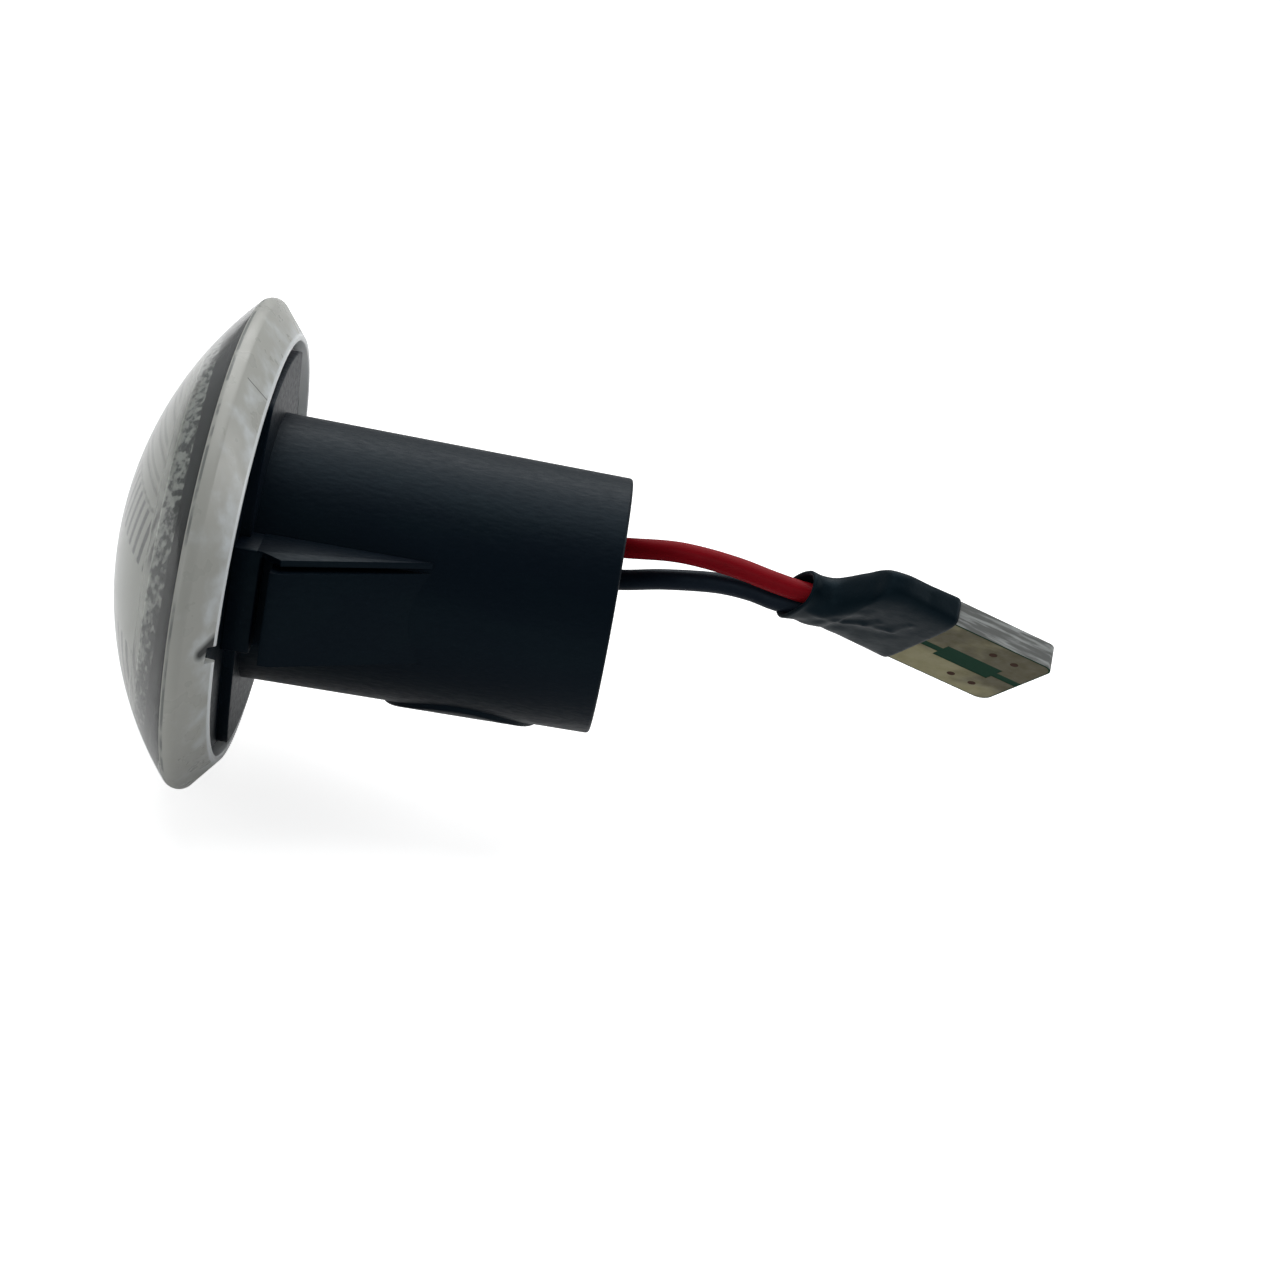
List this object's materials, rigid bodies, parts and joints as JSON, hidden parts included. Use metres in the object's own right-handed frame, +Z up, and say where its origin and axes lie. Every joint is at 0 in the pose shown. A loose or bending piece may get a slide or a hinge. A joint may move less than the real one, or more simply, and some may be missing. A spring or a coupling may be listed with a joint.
{
  "type": "side repeater lamp",
  "caption": "Oval side repeater lamp for a car wing: domed clear lens, black housing with a round tail and snap hooks, and two leads to a wedge plug board.",
  "frame": {"origin": "on the tail's axis, in the plane of the rim's back edge, which lies on the body panel", "axes": "+X along the tail, back through the panel into the car; +Y along the long axis of the oval lens, towards the car's nose on its right side; +Z up"},
  "size_m": [0.0749, 0.052, 0.0386],
  "materials": {
    "clear_lens": "clear moulded acrylic, glossy, faintly frosted by fine wear",
    "black_housing": "satin black with flow streaks",
    "mirror_tray": "bright metallised plastic",
    "board_white": "white solder mask, glossy",
    "led_yellow": "phosphor resin, satin",
    "chip_black": "satin",
    "potting": "satin",
    "lead_red": "soft vinyl, slightly glossy",
    "lead_black": "soft vinyl, slightly glossy",
    "shrink_sleeve": "satin, softly wrinkled",
    "board_green": "green solder mask over glass laminate",
    "gold_contact": "thin gold plating, satin"
  },
  "bodies": {
    "root": {"lens": "clear_lens", "housing": "black_housing", "reflector": "mirror_tray", "light_board": "board_white", "led_1": "led_yellow", "led_2": "led_yellow", "led_3": "led_yellow", "led_4": "led_yellow", "led_5": "led_yellow", "led_6": "led_yellow", "led_7": "led_yellow", "led_8": "led_yellow", "led_9": "led_yellow", "led_10": "led_yellow", "led_11": "led_yellow", "led_12": "led_yellow", "resistor_1": "chip_black", "resistor_2": "chip_black", "resistor_3": "chip_black", "diode": "chip_black", "cable_seal": "potting", "lead_red": "lead_red", "lead_black": "lead_black", "sleeve": "shrink_sleeve", "plug_board": "board_green", "contact_top_near": "gold_contact", "contact_top_far": "gold_contact", "contact_under_near": "gold_contact", "contact_under_far": "gold_contact"}
  },
  "joints": []
}
